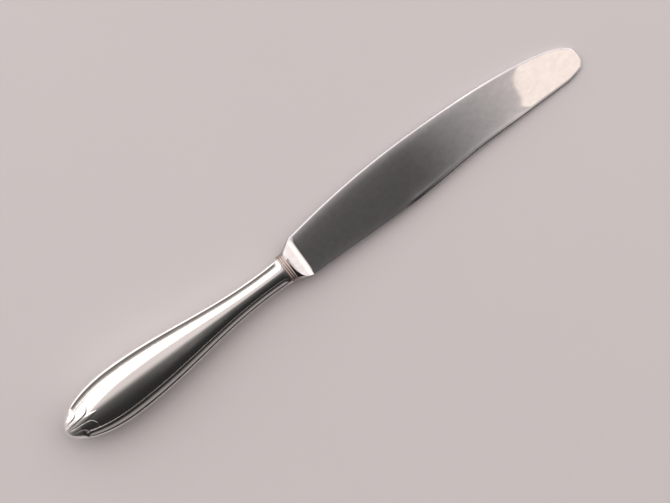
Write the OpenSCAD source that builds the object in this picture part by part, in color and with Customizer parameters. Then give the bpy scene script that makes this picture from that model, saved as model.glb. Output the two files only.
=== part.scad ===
// Hollow-handled dessert knife, lying on its back face.
// The knife is shaped along its own axis: x from the butt to the tip, y towards the spine, z towards the
// front face, with the axis at y = 0 and the seam of the handle at z = 0. It is then laid down at rest,
// on the belly of the handle and the tip of the blade.

/* [Handle] */
// Length of the handle, from its butt to the front of the ferrule
handle_l = 89.4; // [80:0.1:110]
// Width across the belly, over the threads
handle_w = 18; // [14:0.1:22]
// Thickness through the belly
handle_t = 11; // [9:0.1:14]
// Distance from the butt to the widest place
belly_x = 22.5; // [18:0.5:28]
// Width of the neck at its narrowest
neck_w = 8.4; // [7.4:0.1:10]
// Thickness of the neck at its narrowest
neck_t = 5.6; // [4.8:0.1:6.8]
// Distance from the narrowest place back from the front of the ferrule
neck_back = 9.9; // [8:0.1:14]
// Width of the mouth, inside the ferrule
mouth_w = 9.2; // [8.2:0.1:11]
// Thickness of the mouth, inside the ferrule
mouth_t = 5.8; // [5:0.1:7]
// Thickness of the struck sheet
sheet_t = 0.6; // [0.4:0.05:0.8]

/* [Thread border] */
// Width of the rounding on top of the thread's wall at the belly
thread_belly_r = 0.82; // [0.6:0.02:1]
// Width of the rounding on top of the thread's wall at the neck
thread_neck_r = 0.6; // [0.44:0.02:0.7]
// Slope of the crown at its foot, where the border begins
foot_slope = 0.97; // [0.8:0.01:1.2]
// Distance from the butt to where the threads begin
thread_start = 4.8; // [3:0.1:7]
// Length over which a thread rises or dies away
thread_fade = 1.8; // [1:0.1:3]

/* [Leaf spray] */
// Height of the leaves above the handle
leaf_h = 0.24; // [0:0.02:0.5]
// Length of the middle leaf
middle_leaf_l = 12.8; // [9:0.1:14]
// Length of each side leaf
side_leaf_l = 10.8; // [8:0.1:12]
// Length of each outer leaf
outer_leaf_l = 7; // [5:0.1:8]

/* [Ferrule] */
// Length of the ferrule along the knife
ferrule_l = 2.2; // [1.8:0.1:4]
// Wall of the ferrule, outside the mouth of the handle
ferrule_wall = 0.4; // [0.3:0.05:0.6]
// Thickness of the ferrule's front plate
plate_t = 1; // [0.7:0.1:1.4]
// Height of each reed above the ferrule's wall
reed_h = 0.25; // [0.1:0.05:0.4]
// Number of reeds
reed_count = 3; // [2:1:4]

/* [Blade] */
// Length of the blade, from the bolster's shoulder to the tip
blade_l = 110.75; // [90:0.05:135]
// Length of the bolster
bolster_l = 4.85; // [4:0.05:6]
// Height of the spine above the axis at the shoulder
spine_root = 7.6; // [6:0.1:9]
// Height of the spine above the axis at its highest
spine_crest = 11.5; // [9.5:0.1:13.5]
// Distance from the shoulder to the highest place of the spine
crest_x = 46.8; // [36:0.1:56]
// Depth of the edge below the axis at the shoulder
edge_root = 6.65; // [6:0.05:9]
// Depth of the edge below the axis at its belly
edge_belly = 7.5; // [6.6:0.1:9]
// Distance from the shoulder to the belly of the edge
edge_belly_x = 38.5; // [30:0.5:46]
// Depth of the edge below the axis in front
edge_front = 6; // [5:0.1:7.2]
// Distance from the shoulder to where the edge runs straight again
edge_front_x = 76.5; // [64:0.5:86]
// Depth of the foremost point of the tip below the axis
tip_drop = 0.5; // [0:0.1:2]
// Distance from the corner of the tip back from its foremost point
tip_corner_back = 1.8; // [1.2:0.1:3]
// Height by which the edge curls up to the corner of the tip
corner_rise = 1.5; // [0:0.1:2.5]
// Length over which the edge curls up
curl_l = 7.2; // [4:0.1:12]
// Thickness at the spine, at the shoulder
spine_t = 2.3; // [2:0.05:2.8]
// Thickness behind the edge, at the shoulder
edge_t = 1.1; // [1:0.05:1.6]
// Thickness that the blade loses from the shoulder to the tip
taper_t = 0.75; // [0.5:0.05:0.8]
// Width of the rounding along the spine
spine_round = 0.75; // [0.6:0.05:1.4]
// Width of the rounding along the blunt part of the edge
edge_round = 0.4; // [0.2:0.05:0.6]
// Distance from the shoulder to where the sharpened part of the edge begins
bevel_x = 38.5; // [20:0.5:60]
// Width of the bevel along the sharpened part of the edge
bevel_w = 0.45; // [0.2:0.05:1.2]

/* [Tang] */
// Length of the tang inside the handle
tang_l = 60; // [45:1:64]
// Cement between the corners of the tang and the narrowest place of the handle
tang_bed = 0.25; // [0.15:0.05:0.5]
// Width of the tang at its end
tang_end_w = 2.4; // [1.6:0.1:2.8]
// Thickness of the tang at its end
tang_end_t = 1.6; // [1.2:0.1:2]

/* [Fillings and films] */
// Thickness of the solder between the two halves of the handle
seam_film = 0.1; // [0.06:0.01:0.2]
// Thickness of the solder between the handle and the ferrule
ferrule_film = 0.12; // [0.08:0.01:0.2]
// Room left on each side of the solder under the ferrule
film_fit = 0.04; // [0.03:0.005:0.06]
// Room between the cement and the opening of the ferrule's plate
plate_fit = 0.05; // [0.02:0.01:0.1]
// Room between the tang and the edge of the cement around it, in the ferrule's plate
plug_wall = 0.3; // [0.2:0.05:0.4]
// Distance from the butt to the end of the cement, which stops at the next section of the handle
cement_start = 8; // [5:0.5:14]

/* [Hidden] */

silver = "#d8d6d2";
silver_back = "#cfcdc9";
steel = "#8f9092";
solder = "#c9b98a";
cement = "#5a4433";

// Where the pieces follow each other along the axis
mouth_x = handle_l - plate_t;
ferrule_x = handle_l - ferrule_l;
neck_x = handle_l - neck_back;
shoulder_x = handle_l + bolster_l;
tip_x = shoulder_x + blade_l;

// Counts of facets
thread_angles = [0, 40, 70, 90];
thread_steps = len(thread_angles) + 3;
crown_steps = 22;
inner_steps = 12;
outer_per_inner = (2 * thread_steps + crown_steps) / inner_steps;
leaf_rings = 26;
belly_rings = 2;
body_rings = 9;
neck_rings = 4;
forging_sides = 32;
bolster_rings = 12;
blade_rings = 22;
tip_rings = 10;
ferrule_sides = 40;
reed_steps = 4;

// Small helpers
function mix(a, b, t) = a + (b - a) * t;
function clamp(t) = min(max(t, 0), 1);
function ease(t) = let (c = clamp(t)) c * c * (3 - 2 * c);
function soft_min(a, b, w) = let (t = clamp(0.5 + (b - a) / w / 2)) mix(b, a, t) - w * t * (1 - t);
function round_off(d, w) = d >= w ? 1 : sqrt(max(0, 1 - pow(1 - d / w, 2)));

// Outline of the handle: an ellipse at the butt, a wave from belly to neck, and a flare to the mouth
function handle_half(x, belly, neck, mouth) =
    x < belly_x ? belly * sqrt(max(0, 1 - pow(1 - x / belly_x, 2)))
    : x < neck_x ? mix(neck, belly, (1 + cos(180 * (x - belly_x) / (neck_x - belly_x))) / 2)
    : mix(neck, mouth, pow(clamp((x - neck_x) / (ferrule_x - neck_x)), 3));
function half_w(x) = handle_half(x, handle_w / 2, neck_w / 2, mouth_w / 2);
function half_t(x) = handle_half(x, handle_t / 2, neck_t / 2, mouth_t / 2) - seam_film / 2;

// The border beside the seam is a thread: a wall with a rounded top, a nearly flat land inside it, and a
// cove up to the foot of the crown. Its places are counted in from the outline, in widths of the rounding.
thread_share = 0.15;
rounding_h = 1.5;
land_end = 1.9;
land_fall = 0.03;
cove_end = 3.4;
function thread_r(x) = min(
    thread_share * half_w(x),
    mix(thread_neck_r, thread_belly_r, (2 * half_w(x) - neck_w) / (handle_w - neck_w)));
function thread_on(x) = ease((x - thread_start) / thread_fade) * ease((ferrule_x - x) / thread_fade);

// The crown is the ellipse that has the slope of the foot where the cove meets it
function foot_y(x) = half_w(x) - cove_end * thread_r(x);
function crown_w(x) = let (y = foot_y(x))
    sqrt((y * y + sqrt(pow(y, 4) + 4 * pow(half_t(x) * y / foot_slope, 2))) / 2);
function crown_start(x) = acos(foot_y(x) / crown_w(x));
function foot(x) = [foot_y(x), half_t(x) * sin(crown_start(x))];
function border(x) = let (
    r = thread_r(x),
    w = half_w(x),
    rise = foot_slope * (cove_end - land_end) * r / 2,
    land = foot(x).y - rise,
    top = land + land_fall * r)
    concat(
        [[w, 0]],
        [for (a = thread_angles) [w - r * (1 - cos(a)), top - rounding_h * r * (1 - sin(a))]],
        [[w - land_end * r, land], [w - (land_end + cove_end) / 2 * r, land + rise / 4]]);

// Leaves of the spray. The side and outer leaves stand up in a step along their inner borders and fall
// away outwards; a border is nearly straight from the butt and hooks out to the leaf's point. The middle
// leaf is a low ridge between them. All rise from nothing at the seam.
side_leaf_y = 0;
side_leaf_slope = 0.13;
side_leaf_hook = [2.25, 16];
side_leaf_w = 3.2;
outer_leaf_y = 1.45;
outer_leaf_slope = 0.15;
outer_leaf_hook = [1.6, 9];
outer_leaf_w = 2.4;
middle_leaf_w = 1.5;
middle_leaf_h = 0.3;
middle_leaf_x = 6;
middle_leaf_fade = 4;
leaf_step = 0.8;
leaf_point = 0.5;
leaf_rise = 3;
leaf_seat = 0.6;
function leaf(x, y, long, y0, slope, hook, w) =
    let (out = abs(y) - y0 - slope * x - hook[0] * pow(min(x / long, 1), hook[1]))
    ease(out / leaf_step + 0.5) * (1 - ease(out / w)) * ease((long - x) / leaf_point);
function middle_leaf(x, y) = x >= middle_leaf_l ? 0
    : middle_leaf_h * ease((x - middle_leaf_x) / middle_leaf_fade)
    * max(0, 1 - pow(y / middle_leaf_w / (1 - pow(x / middle_leaf_l, 3)), 2));
function leaf_relief(x, y) = leaf_h * ease(x / thread_start) * max(
    middle_leaf(x, y),
    leaf(x, y, side_leaf_l, side_leaf_y, side_leaf_slope, side_leaf_hook, side_leaf_w),
    leaf(x, y, outer_leaf_l, outer_leaf_y, outer_leaf_slope, outer_leaf_hook, outer_leaf_w));

// One section of a handle half, seen from the tip: over the outside from the spine's side to the edge's,
// and back along the inside. Heights are above the seam face.
function plain(p, x) = p / sqrt(pow(p.x / half_w(x), 2) + pow(p.y / half_t(x), 2));
function crown_arc(x) = let (a = crown_start(x), w = crown_w(x), t = half_t(x))
    [for (i = [0 : crown_steps]) let (b = mix(a, 180 - a, i / crown_steps), p = [w * cos(b), t * sin(b)])
        mix(plain(p, x), p, thread_on(x))];
function plain_rim(x, share) = let (
    f = plain(foot(x), x),
    b = share * atan2(f.y / half_t(x), f.x / half_w(x)))
    [half_w(x) * cos(b), half_t(x) * sin(b)];
function thread_arc(x) = let (points = border(x)) [for (i = [0 : thread_steps - 1])
    mix(plain_rim(x, i / thread_steps), points[i], thread_on(x))];
function back(list) = [for (i = [len(list) - 1 : -1 : 0]) list[i]];
function flip_arc(arc) = [for (p = back(arc)) [-p.x, p.y]];
function bordered_arc(x) = let (t = thread_arc(x)) concat(t, crown_arc(x), flip_arc(t));
function leafed(p, x) = let (up = clamp(p.y / half_t(x)))
    p * (1 + leaf_relief(x, p.x) * ease(leaf_rise * up - leaf_seat) / norm(p));
function outer_arc(x) = [for (p = bordered_arc(x)) leafed(p, x)];

// Inside of the handle: the sheet's thickness in from the crown, and never less than a share of the width
cavity_share = 0.3;
function inner_w(x) = max(
    mix(half_w(max(x - sheet_t, 0)), crown_w(x), thread_on(x)) - sheet_t,
    cavity_share * half_w(x));
function inner_t(x) = max(half_t(max(x - sheet_t, 0)) - sheet_t, 0);
function inner_arc(x) = [for (i = [0 : inner_steps]) let (b = 180 * i / inner_steps)
    [inner_w(x) * cos(b), inner_t(x) * sin(b)]];

// Places of the sections along the handle
butt_gap = 0.01;
spray_margin = 0.6;
spray_l = middle_leaf_l + spray_margin;
ring_crowd = 1.35;
handle_rings = concat(
    [butt_gap],
    [for (i = [1 : leaf_rings]) spray_l * pow(i / leaf_rings, ring_crowd)],
    [for (i = [1 : belly_rings]) mix(spray_l, belly_x, i / belly_rings)],
    [for (i = [1 : body_rings]) mix(belly_x, neck_x, i / body_rings)],
    [for (i = [1 : neck_rings]) mix(neck_x, ferrule_x, i / neck_rings)],
    [mouth_x]);

// Skin over a row of sections that have as many points each. The first points up to turn are split the
// other way, so that the upper and the lower half of a skin mirror each other.
function skin_sides(rings, n, turn = 0) = [for (i = [0 : rings - 2]) for (k = [0 : n - 1])
    let (a = i * n + k, b = i * n + (k + 1) % n)
    each k < turn ? [[a, a + n, b], [a + n, b + n, b]] : [[a, a + n, b + n], [a, b + n, b]]];
function middle(ring) = [for (i = [0 : 2]) let (line = [for (p = ring) p[i]])
    (min(line) + max(line)) / 2];
module skin(rings) {
    n = len(rings[0]);
    last = (len(rings) - 1) * n;
    back_cap = [for (k = [0 : n - 1]) [last + n, k, (k + 1) % n]];
    front_cap = [for (k = [0 : n - 1]) [last + n + 1, last + (k + 1) % n, last + k]];
    points = concat([for (r = rings) each r], [middle(rings[0]), middle(rings[len(rings) - 1])]);
    polyhedron(points, concat(skin_sides(len(rings), n, n / 2), back_cap, front_cap));
}
function across(x, arc, z0) = [for (p = arc) [x, p.x, p.y + z0]];

// Half of the handle above the seam. The butt is closed by a fan from the top of its crown, and the
// mouth by a strip between the outside and the inside.
module half_shell() {
    outer_n = 2 * thread_steps + crown_steps + 1;
    n = outer_n + inner_steps + 1;
    z0 = seam_film / 2;
    rings = [for (x = handle_rings)
        across(x, concat(outer_arc(x), back(inner_arc(x))), z0)];
    last = (len(rings) - 1) * n;
    top = floor(outer_n / 2);
    strip = [for (i = [0 : inner_steps - 1])
        let (a = last + n - 1 - i, b = a - 1, o = last + outer_per_inner * i)
        each concat(
            [for (j = [0 : outer_per_inner - 1]) [a, o + j + 1, o + j]],
            [[a, b, o + outer_per_inner]])];
    butt = [for (k = [1 : n - 2]) [top, (top + k) % n, (top + k + 1) % n]];
    polyhedron([for (r = rings) each r], concat(skin_sides(len(rings), n), butt, strip));
}

// Outline of the blade, seen from the front
spine_power = 2.05;
tip_power = 2.6;
spine_front_l = blade_l - crest_x;
corner_x = tip_x - tip_corner_back;
corner_depth = edge_front - corner_rise;
function spine_y(x) = let (d = x - shoulder_x)
    d < crest_x ? spine_crest - (spine_crest - spine_root) * pow(1 - d / crest_x, 2)
    : mix(-tip_drop, spine_crest,
        pow(max(0, 1 - pow((d - crest_x) / spine_front_l, spine_power)), 1 / tip_power));
function tip_front_y(x) = -tip_drop
    - (corner_depth - tip_drop) * sqrt(max(0, tip_x - x) / tip_corner_back);
function edge_y(x) = let (d = x - shoulder_x)
    d < edge_belly_x ? -mix(edge_root, edge_belly, ease(d / edge_belly_x))
    : max(corner_rise * pow(max(0, 1 - (corner_x - x) / curl_l), 2)
        - mix(edge_belly, edge_front, ease((d - edge_belly_x) / (edge_front_x - edge_belly_x))),
        tip_front_y(x));

// Half thickness of the blade: flat faces from spine to edge, rounded along the spine and the tip,
// blunt near the handle and bevelled where the edge is sharpened
face_slope = (spine_t - edge_t) / 2 / (spine_root + edge_root);
face_taper = taper_t / 2 / blade_l;
bevel_fade = 6;
function face_z(x, y) = spine_t / 2 + (y - spine_root) * face_slope - (x - shoulder_x) * face_taper;
function sharpened(x) = ease((x - shoulder_x - bevel_x) / bevel_fade);
function blade_z(x, y) = let (e = y - edge_y(x))
    face_z(x, y) * round_off(spine_y(x) - y, spine_round)
    * mix(round_off(e, edge_round), clamp(e / bevel_w), sharpened(x));

// Bolster: an oval neck that spreads to the shoulder, cut down in front by a curved ramp and a chamfer
bolster_w = mouth_w / 2 + ferrule_wall + reed_h;
bolster_t = mouth_t / 2 + ferrule_wall;
ramp_back = 0.13;
ramp_front = 0.73;
ramp_bow = 0.65;
chamfer_h = 0.45;
bolster_full = 0.7;
ridge_soft = 0.35;
spread_bow = 0.4;
function spread(x) = let (d = (x - handle_l) / bolster_l) mix(d, sin(90 * d), spread_bow);
function ramp_z(x, y) = let (
    d = (x - handle_l) / bolster_l,
    left = 1 - clamp((d - ramp_back) / (ramp_front - ramp_back)),
    chamfer = chamfer_h * min(1, (1 - d) / (1 - ramp_front)))
    mix(face_z(shoulder_x, y) + chamfer, bolster_t, left * mix(1, left, ramp_bow));
function bolster_z(x, y, a) = soft_min(
    bolster_t * pow(abs(sin(a)), mix(1, bolster_full, spread(x))),
    ramp_z(x, y),
    ridge_soft);

// Sections of the forging, from the end of the tang to the tip
function forging_ring(x) = let (
    f = x < shoulder_x ? spread(x) : 1,
    high = x < shoulder_x ? mix(bolster_w, spine_root, f) : spine_y(x),
    low = x < shoulder_x ? -mix(bolster_w, edge_root, f) : edge_y(x))
    [for (k = [0 : forging_sides - 1])
        let (a = 360 * k / forging_sides, y = mix(low, high, (1 + cos(a)) / 2))
        [x, y, sign(sin(a)) * (x < shoulder_x ? bolster_z(x, y, a) : blade_z(x, y))]];
function tang_ring(x) = let (
    t = clamp((handle_l - x) / tang_l),
    w = mix(tang_w, tang_end_w, t) / 2,
    h = mix(tang_t, tang_end_t, t) / 2)
    [for (k = [0 : forging_sides - 1])
        let (a = 360 * k / forging_sides, s = max(abs(cos(a)), abs(sin(a))))
        [x, w * cos(a) / s, h * sin(a) / s]];
tang_w = 2 * (inner_w(neck_x) / sqrt(2) - tang_bed);
tang_t = 2 * (inner_t(neck_x) / sqrt(2) - tang_bed);
tang_end_x = handle_l - tang_l;
tip_flat = 0.01;
tip_corners = 5;
tip_l = tip_corners * tip_corner_back;
blade_places = concat(
    [for (i = [0 : blade_rings]) mix(shoulder_x, tip_x - tip_l, i / blade_rings)],
    [for (i = [1 : tip_rings]) tip_x - max(tip_l * pow(1 - i / tip_rings, 2), tip_flat)]);
bolster_places = [for (i = [0 : bolster_rings - 1]) handle_l + bolster_l * i / bolster_rings];
forging_places = concat(bolster_places, blade_places);

// Opening of the ferrule's plate, round the tang and the cement about it, and how far a cut runs past it
cut_over = 1;
plug_w = tang_w / sqrt(2) + plug_wall;
plug_t = tang_t / sqrt(2) + plug_wall;

// Profile of the ferrule, as distances along the axis and out from the mouth of the handle
reed_w = ferrule_l / reed_count;
film_room = ferrule_film + 2 * film_fit;
reed_profile = [for (r = [0 : reed_count - 1]) for (i = [0 : reed_steps - (r < reed_count - 1 ? 1 : 0)])
    [ferrule_x + reed_w * (r + (1 - cos(180 * i / reed_steps)) / 2),
        ferrule_wall + reed_h * sin(180 * i / reed_steps)]];

// Ring of an oval band, round the axis: its profile has its own oval at each point
module band(ovals) {
    n = len(ovals);
    rings = [for (k = [0 : ferrule_sides - 1]) let (a = 360 * k / ferrule_sides)
        [for (o = ovals) [o[0], o[1] * cos(a), o[2] * sin(a)]]];
    faces = [for (k = [0 : ferrule_sides - 1]) for (i = [0 : n - 1])
        let (a = k * n + i, b = k * n + (i + 1) % n, c = ((k + 1) % ferrule_sides) * n)
        each [[a, b, c + (i + 1) % n], [a, c + (i + 1) % n, c + i]]];
    polyhedron([for (r = rings) each r], faces);
}
function mouth_oval(x, out) = [x, mouth_w / 2 + out, mouth_t / 2 + out];

// Laying the knife down: the line under the belly of the handle and the tip of the blade becomes level
function ring_drop(x) = max([for (p = forging_ring(x)) p.z]);
rear_drops = concat(
    [for (x = handle_rings) [x, half_t(x) + seam_film / 2]],
    [for (p = reed_profile) [p.x, mouth_t / 2 + p.y]],
    [for (x = bolster_places) [x, ring_drop(x)]]);
rest_slope = min([for (x = blade_places) if (x > tip_x - spine_front_l)
    max([for (d = rear_drops) (d[1] - ring_drop(x)) / (x - d[0])])]);
rest_tilt = atan(rest_slope);
rest_drop = max([for (d = rear_drops) d[0] * sin(rest_tilt) + d[1] * cos(rest_tilt)]);
centre_x = tip_x * cos(rest_tilt) / 2;
centre_y = (spine_crest - handle_w / 2) / 2;
module at_rest() {
    translate([-centre_x, -centre_y, rest_drop]) rotate([0, rest_tilt, 0]) children();
}

module blade() {
    color(steel) at_rest() skin(concat(
        [tang_ring(tang_end_x), tang_ring(handle_l)],
        [for (x = forging_places) forging_ring(x)]));
}

module handle_front_half() {
    color(silver) at_rest() half_shell();
}

module handle_back_half() {
    color(silver_back) at_rest() mirror([0, 0, 1]) half_shell();
}

module seam_solder() {
    outer = [for (x = handle_rings) [x, outer_arc(x)[0].x]];
    inner = [for (x = handle_rings) if (inner_t(x) > 0) [x, inner_w(x)]];
    color(solder) at_rest() linear_extrude(seam_film, center = true) polygon(concat(
        back(outer),
        [for (p = outer) [p.x, -p.y]],
        [for (p = back(inner)) [p.x, -p.y]],
        inner));
}

module ferrule() {
    opening = [plug_w + plate_fit, plug_t + plate_fit];
    color(silver) at_rest() band(concat(
        [for (p = reed_profile) mouth_oval(p.x, p.y)],
        [for (x = [handle_l, mouth_x]) concat(x, opening)],
        [mouth_oval(mouth_x, film_room), mouth_oval(ferrule_x, film_room)]));
}

module ferrule_solder() {
    color(solder) at_rest() band([
        mouth_oval(ferrule_x, film_fit + ferrule_film), mouth_oval(mouth_x, film_fit + ferrule_film),
        mouth_oval(mouth_x, film_fit), mouth_oval(ferrule_x, film_fit)]);
}

module cement_core() {
    places = [for (x = handle_rings) if (x >= cement_start) x];
    function core_ring(x, arc) = concat(
        across(x, arc, seam_film / 2),
        [for (p = back(arc)) [x, p.x, -p.y - seam_film / 2]]);
    plug = [for (i = [0 : inner_steps]) let (b = 180 * i / inner_steps)
        [plug_w * cos(b), (plug_t - seam_film / 2) * sin(b)]];
    color(cement) at_rest() difference() {
        skin(concat(
            [for (x = places) core_ring(x, inner_arc(x))],
            [core_ring(mouth_x, plug), core_ring(handle_l, plug)]));
        skin([tang_ring(tang_end_x), tang_ring(handle_l), tang_ring(handle_l + cut_over)]);
    }
}

blade();
handle_front_half();
handle_back_half();
seam_solder();
ferrule();
ferrule_solder();
cement_core();
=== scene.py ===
# %% [markdown]
# # A hollow-handled dessert knife
# The real knife is seven pieces: a steel forging, two struck halves of silver sheet, a reeded ferrule, two
# films of solder and a filling of cement. The frame already holds them at their true size and place. This
# lesson gives each visible piece a finer skin over the same form, and each surface its finish.

# %% Load the frame
import math

import bmesh
import bpy
from mathutils import Matrix, Vector


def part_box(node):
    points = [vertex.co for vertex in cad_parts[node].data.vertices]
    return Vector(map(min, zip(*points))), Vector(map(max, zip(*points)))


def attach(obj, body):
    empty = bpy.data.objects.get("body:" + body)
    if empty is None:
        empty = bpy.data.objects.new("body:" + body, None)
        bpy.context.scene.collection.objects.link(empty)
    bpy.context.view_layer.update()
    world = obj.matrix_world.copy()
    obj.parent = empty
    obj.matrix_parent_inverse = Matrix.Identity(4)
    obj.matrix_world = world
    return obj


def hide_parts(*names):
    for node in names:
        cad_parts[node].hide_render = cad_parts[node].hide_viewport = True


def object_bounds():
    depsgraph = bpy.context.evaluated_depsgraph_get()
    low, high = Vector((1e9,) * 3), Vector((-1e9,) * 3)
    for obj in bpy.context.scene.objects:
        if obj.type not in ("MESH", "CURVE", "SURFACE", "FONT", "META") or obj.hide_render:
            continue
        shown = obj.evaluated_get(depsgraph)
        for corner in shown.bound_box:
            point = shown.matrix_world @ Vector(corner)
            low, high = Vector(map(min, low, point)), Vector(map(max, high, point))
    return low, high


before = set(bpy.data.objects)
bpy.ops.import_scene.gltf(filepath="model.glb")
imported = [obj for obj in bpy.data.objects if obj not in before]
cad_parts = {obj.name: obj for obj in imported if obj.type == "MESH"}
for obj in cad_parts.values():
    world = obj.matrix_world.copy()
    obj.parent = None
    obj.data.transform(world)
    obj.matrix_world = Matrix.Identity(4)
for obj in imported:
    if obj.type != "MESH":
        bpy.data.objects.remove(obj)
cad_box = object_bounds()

MM = 0.001


def in_mm(box):
    """Corners of a box in millimetres, to be printed."""
    return [[round(v / MM, 2) for v in corner] for corner in box]


print("nodes", sorted(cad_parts))
print("box of the frame, mm", in_mm(cad_box))

# %% [markdown]
# ## The knife's own axis
# A knife is drawn along its axis: x from the butt to the tip, y towards the spine, z towards the front
# face, with the seam of the handle at z = 0. On the table it lies on its belly and its tip, so the axis
# slopes a little. The pieces could be modelled on that slope, but then every formula would hold it. Here
# they are modelled along the axis, in millimetres, and one matrix lays them down in the frame. The film of
# solder in the seam is flat, so its box tells the slope and where the butt is.

# %% Find the axis in the frame
SEAM_FILM = 0.1
seam_low, seam_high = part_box("seam_solder")
seam_fall = seam_high.z - seam_low.z - SEAM_FILM * MM
rest_tilt = math.atan2(seam_fall, seam_high.x - seam_low.x)
butt_place = Vector((
    cad_box[0].x,
    (seam_low.y + seam_high.y) / 2,
    seam_high.z - SEAM_FILM * MM / 2))
lay_down = Matrix.Translation(butt_place) @ Matrix.Rotation(rest_tilt, 4, "Y") @ Matrix.Scale(MM, 4)
print("tilt of the axis", round(math.degrees(rest_tilt), 3), "degrees, butt at", butt_place)


# %% [markdown]
# ## Ways from one value to another
# The wave of a handle and the fall of a border are ways from one value to another. Curves could draw them,
# but small formulas can be tried one by one: an even way, a soft one, and the round of a corner.

# %% Small helpers
def mix(a, b, t):
    """Even way from a, at t = 0, to b, at t = 1."""
    return a + (b - a) * t


def clamp(t):
    """Keeps a share between 0 and 1."""
    return min(max(t, 0.0), 1.0)


def ease(t):
    """Way from 0 to 1 that starts and ends softly."""
    c = clamp(t)
    return c * c * (3 - 2 * c)


def round_off(distance, width):
    """Height of a rounded corner, from 0 at its end to 1 at its full width."""
    return 1.0 if distance >= width else math.sqrt(max(0.0, 1 - (1 - distance / width) ** 2))


print("an eased way in quarters", [round(ease(quarter / 4), 3) for quarter in range(5)])


# %% [markdown]
# ## Working a sheet
# A silversmith works flat sheet into form. The helper does the same: it makes a grid with the grid
# operator and moves each point to its place on the form. A list of vertices could be written out instead,
# but then the faces would have to be counted by hand.
#
# Each point also keeps a number called recess, from 0 on an open surface to 1 at the bottom of a groove.
# The finishes use it to darken the metal there, which stands partly for tarnish where a polishing cloth does
# not reach and partly for painted shade.

# %% Work a grid
def worked_grid(bm, rows, columns, place):
    """Adds a grid whose points lie where place(row, column) says."""
    recess = bm.verts.layers.float.get("recess") or bm.verts.layers.float.new("recess")
    grid = bmesh.ops.create_grid(bm, x_segments=rows, y_segments=columns, size=1)["verts"]
    for vert in grid:
        row = round((vert.co.x + 1) / 2 * rows)
        column = round((vert.co.y + 1) / 2 * columns)
        vert.co, vert[recess] = place(row, column)
    return grid


sample = bmesh.new()
worked_grid(sample, 2, 3, lambda row, column: ((row, column, 0), 0.0))
print("a sample sheet has", len(sample.faces), "faces")
sample.free()

# %% [markdown]
# ## From a form to a piece
# Every form ends in the same way. Points that fall together are merged, which closes the seams, and the
# faces are turned outwards. Then the form is laid down in the frame and gets its finish. The object could be
# moved instead, but it stays at the origin, so that patterns on object coordinates lie still. Shading is
# smooth, apart from edges that turn sharply.

# %% Finish a piece
SHARP_ANGLE = math.radians(42)
SAME_PLACE = 1e-5


def add_object(name, data):
    """Puts a new object into the scene."""
    made = bpy.data.objects.new(name, data)
    bpy.context.scene.collection.objects.link(made)
    return made


def finish_piece(bm, name, node, material):
    """Closes the seams of a form, lays it down in the frame and gives it its finish."""
    bmesh.ops.remove_doubles(bm, verts=bm.verts, dist=SAME_PLACE)
    bmesh.ops.dissolve_degenerate(bm, edges=bm.edges, dist=SAME_PLACE)
    bmesh.ops.recalc_face_normals(bm, faces=bm.faces)
    bmesh.ops.transform(bm, matrix=lay_down, verts=bm.verts)
    open_edges = sum(1 for edge in bm.edges if not edge.is_manifold)
    mesh = bpy.data.meshes.new(name)
    bm.to_mesh(mesh)
    bm.free()
    mesh.shade_smooth()
    mesh.set_sharp_from_angle(angle=SHARP_ANGLE)
    mesh.materials.append(material)
    piece = add_object(name, mesh)
    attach(piece, "root")
    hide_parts(node)
    print(name, len(mesh.polygons), "faces,", open_edges, "open edges")
    return piece


print("edges stay sharp from", round(math.degrees(SHARP_ANGLE)), "degrees")


# %% [markdown]
# ## Shared effects of wear and painted shade
# Polished metal that has been used for years is never even. Three effects come back in several finishes, so
# each is a node group: hairlines from wiping and stacking; smudges, which are soft clouds, finer mottles and
# a few nicks; and darkening in the recesses, which is partly tarnish and partly painted shade. Pictures
# could hold such marks, but stretched noise needs no file and stays fine up close. The groups only put out
# masks.

# %% Nodes by name
def add_node(tree, kind, **values):
    """Adds a node and sets its inputs, by name, or its settings."""
    node = tree.nodes.new(kind)
    for key, value in values.items():
        if key in node.inputs:
            node.inputs[key].default_value = value
        else:
            setattr(node, key, value)
    return node


def group_socket(group, name, direction):
    """Opens a group with a socket for one number."""
    group.interface.new_socket(name=name, in_out=direction, socket_type="NodeSocketFloat")


print("nodes are made by", add_node.__name__)


# %% Masks and sums
def share_between(tree, source, low, high):
    """Turns a value from low to high into a share from 0 to 1."""
    node = add_node(tree, "ShaderNodeMapRange", **{"From Min": low, "From Max": high})
    tree.links.new(source, node.inputs["Value"])
    return node.outputs["Result"]


def noise_mask(tree, fineness, low, high, **settings):
    """A mask of noise with a fineness, per metre, along each axis: 0 below low and 1 above high."""
    coordinates = add_node(tree, "ShaderNodeTexCoord")
    mapping = add_node(tree, "ShaderNodeMapping", Scale=fineness)
    noise = add_node(tree, "ShaderNodeTexNoise", Scale=1.0, **settings)
    tree.links.new(coordinates.outputs["Object"], mapping.inputs["Vector"])
    tree.links.new(mapping.outputs["Vector"], noise.inputs["Vector"])
    return share_between(tree, noise.outputs["Fac"], low, high)


def arithmetic(tree, operation, *values):
    """A sum of numbers and outlets of other nodes."""
    node = add_node(tree, "ShaderNodeMath", operation=operation)
    for socket, value in zip(node.inputs, values):
        if isinstance(value, (int, float)):
            socket.default_value = value
        else:
            tree.links.new(value, socket)
    return node.outputs["Value"]


print("masks are made by", noise_mask.__name__)


# %% Hairlines
def mask_group(name, masks):
    """A group that puts out a noise mask for each name in masks."""
    group = bpy.data.node_groups.new(name, "ShaderNodeTree")
    out = add_node(group, "NodeGroupOutput")
    for mask, settings in masks.items():
        group_socket(group, mask, "OUTPUT")
        group.links.new(noise_mask(group, **settings), out.inputs[mask])
    return group


LINE = {"low": 0.35, "high": 0.7, "noise_dimensions": "4D", "Detail": 3.0}
hairlines = mask_group("hairlines", {
    "Along": {"fineness": (60, 2600, 2600), **LINE, "W": 0.0},
    "Across": {"fineness": (1500, 90, 90), **LINE, "W": 7.0}})
print("group", hairlines.name)

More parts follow.
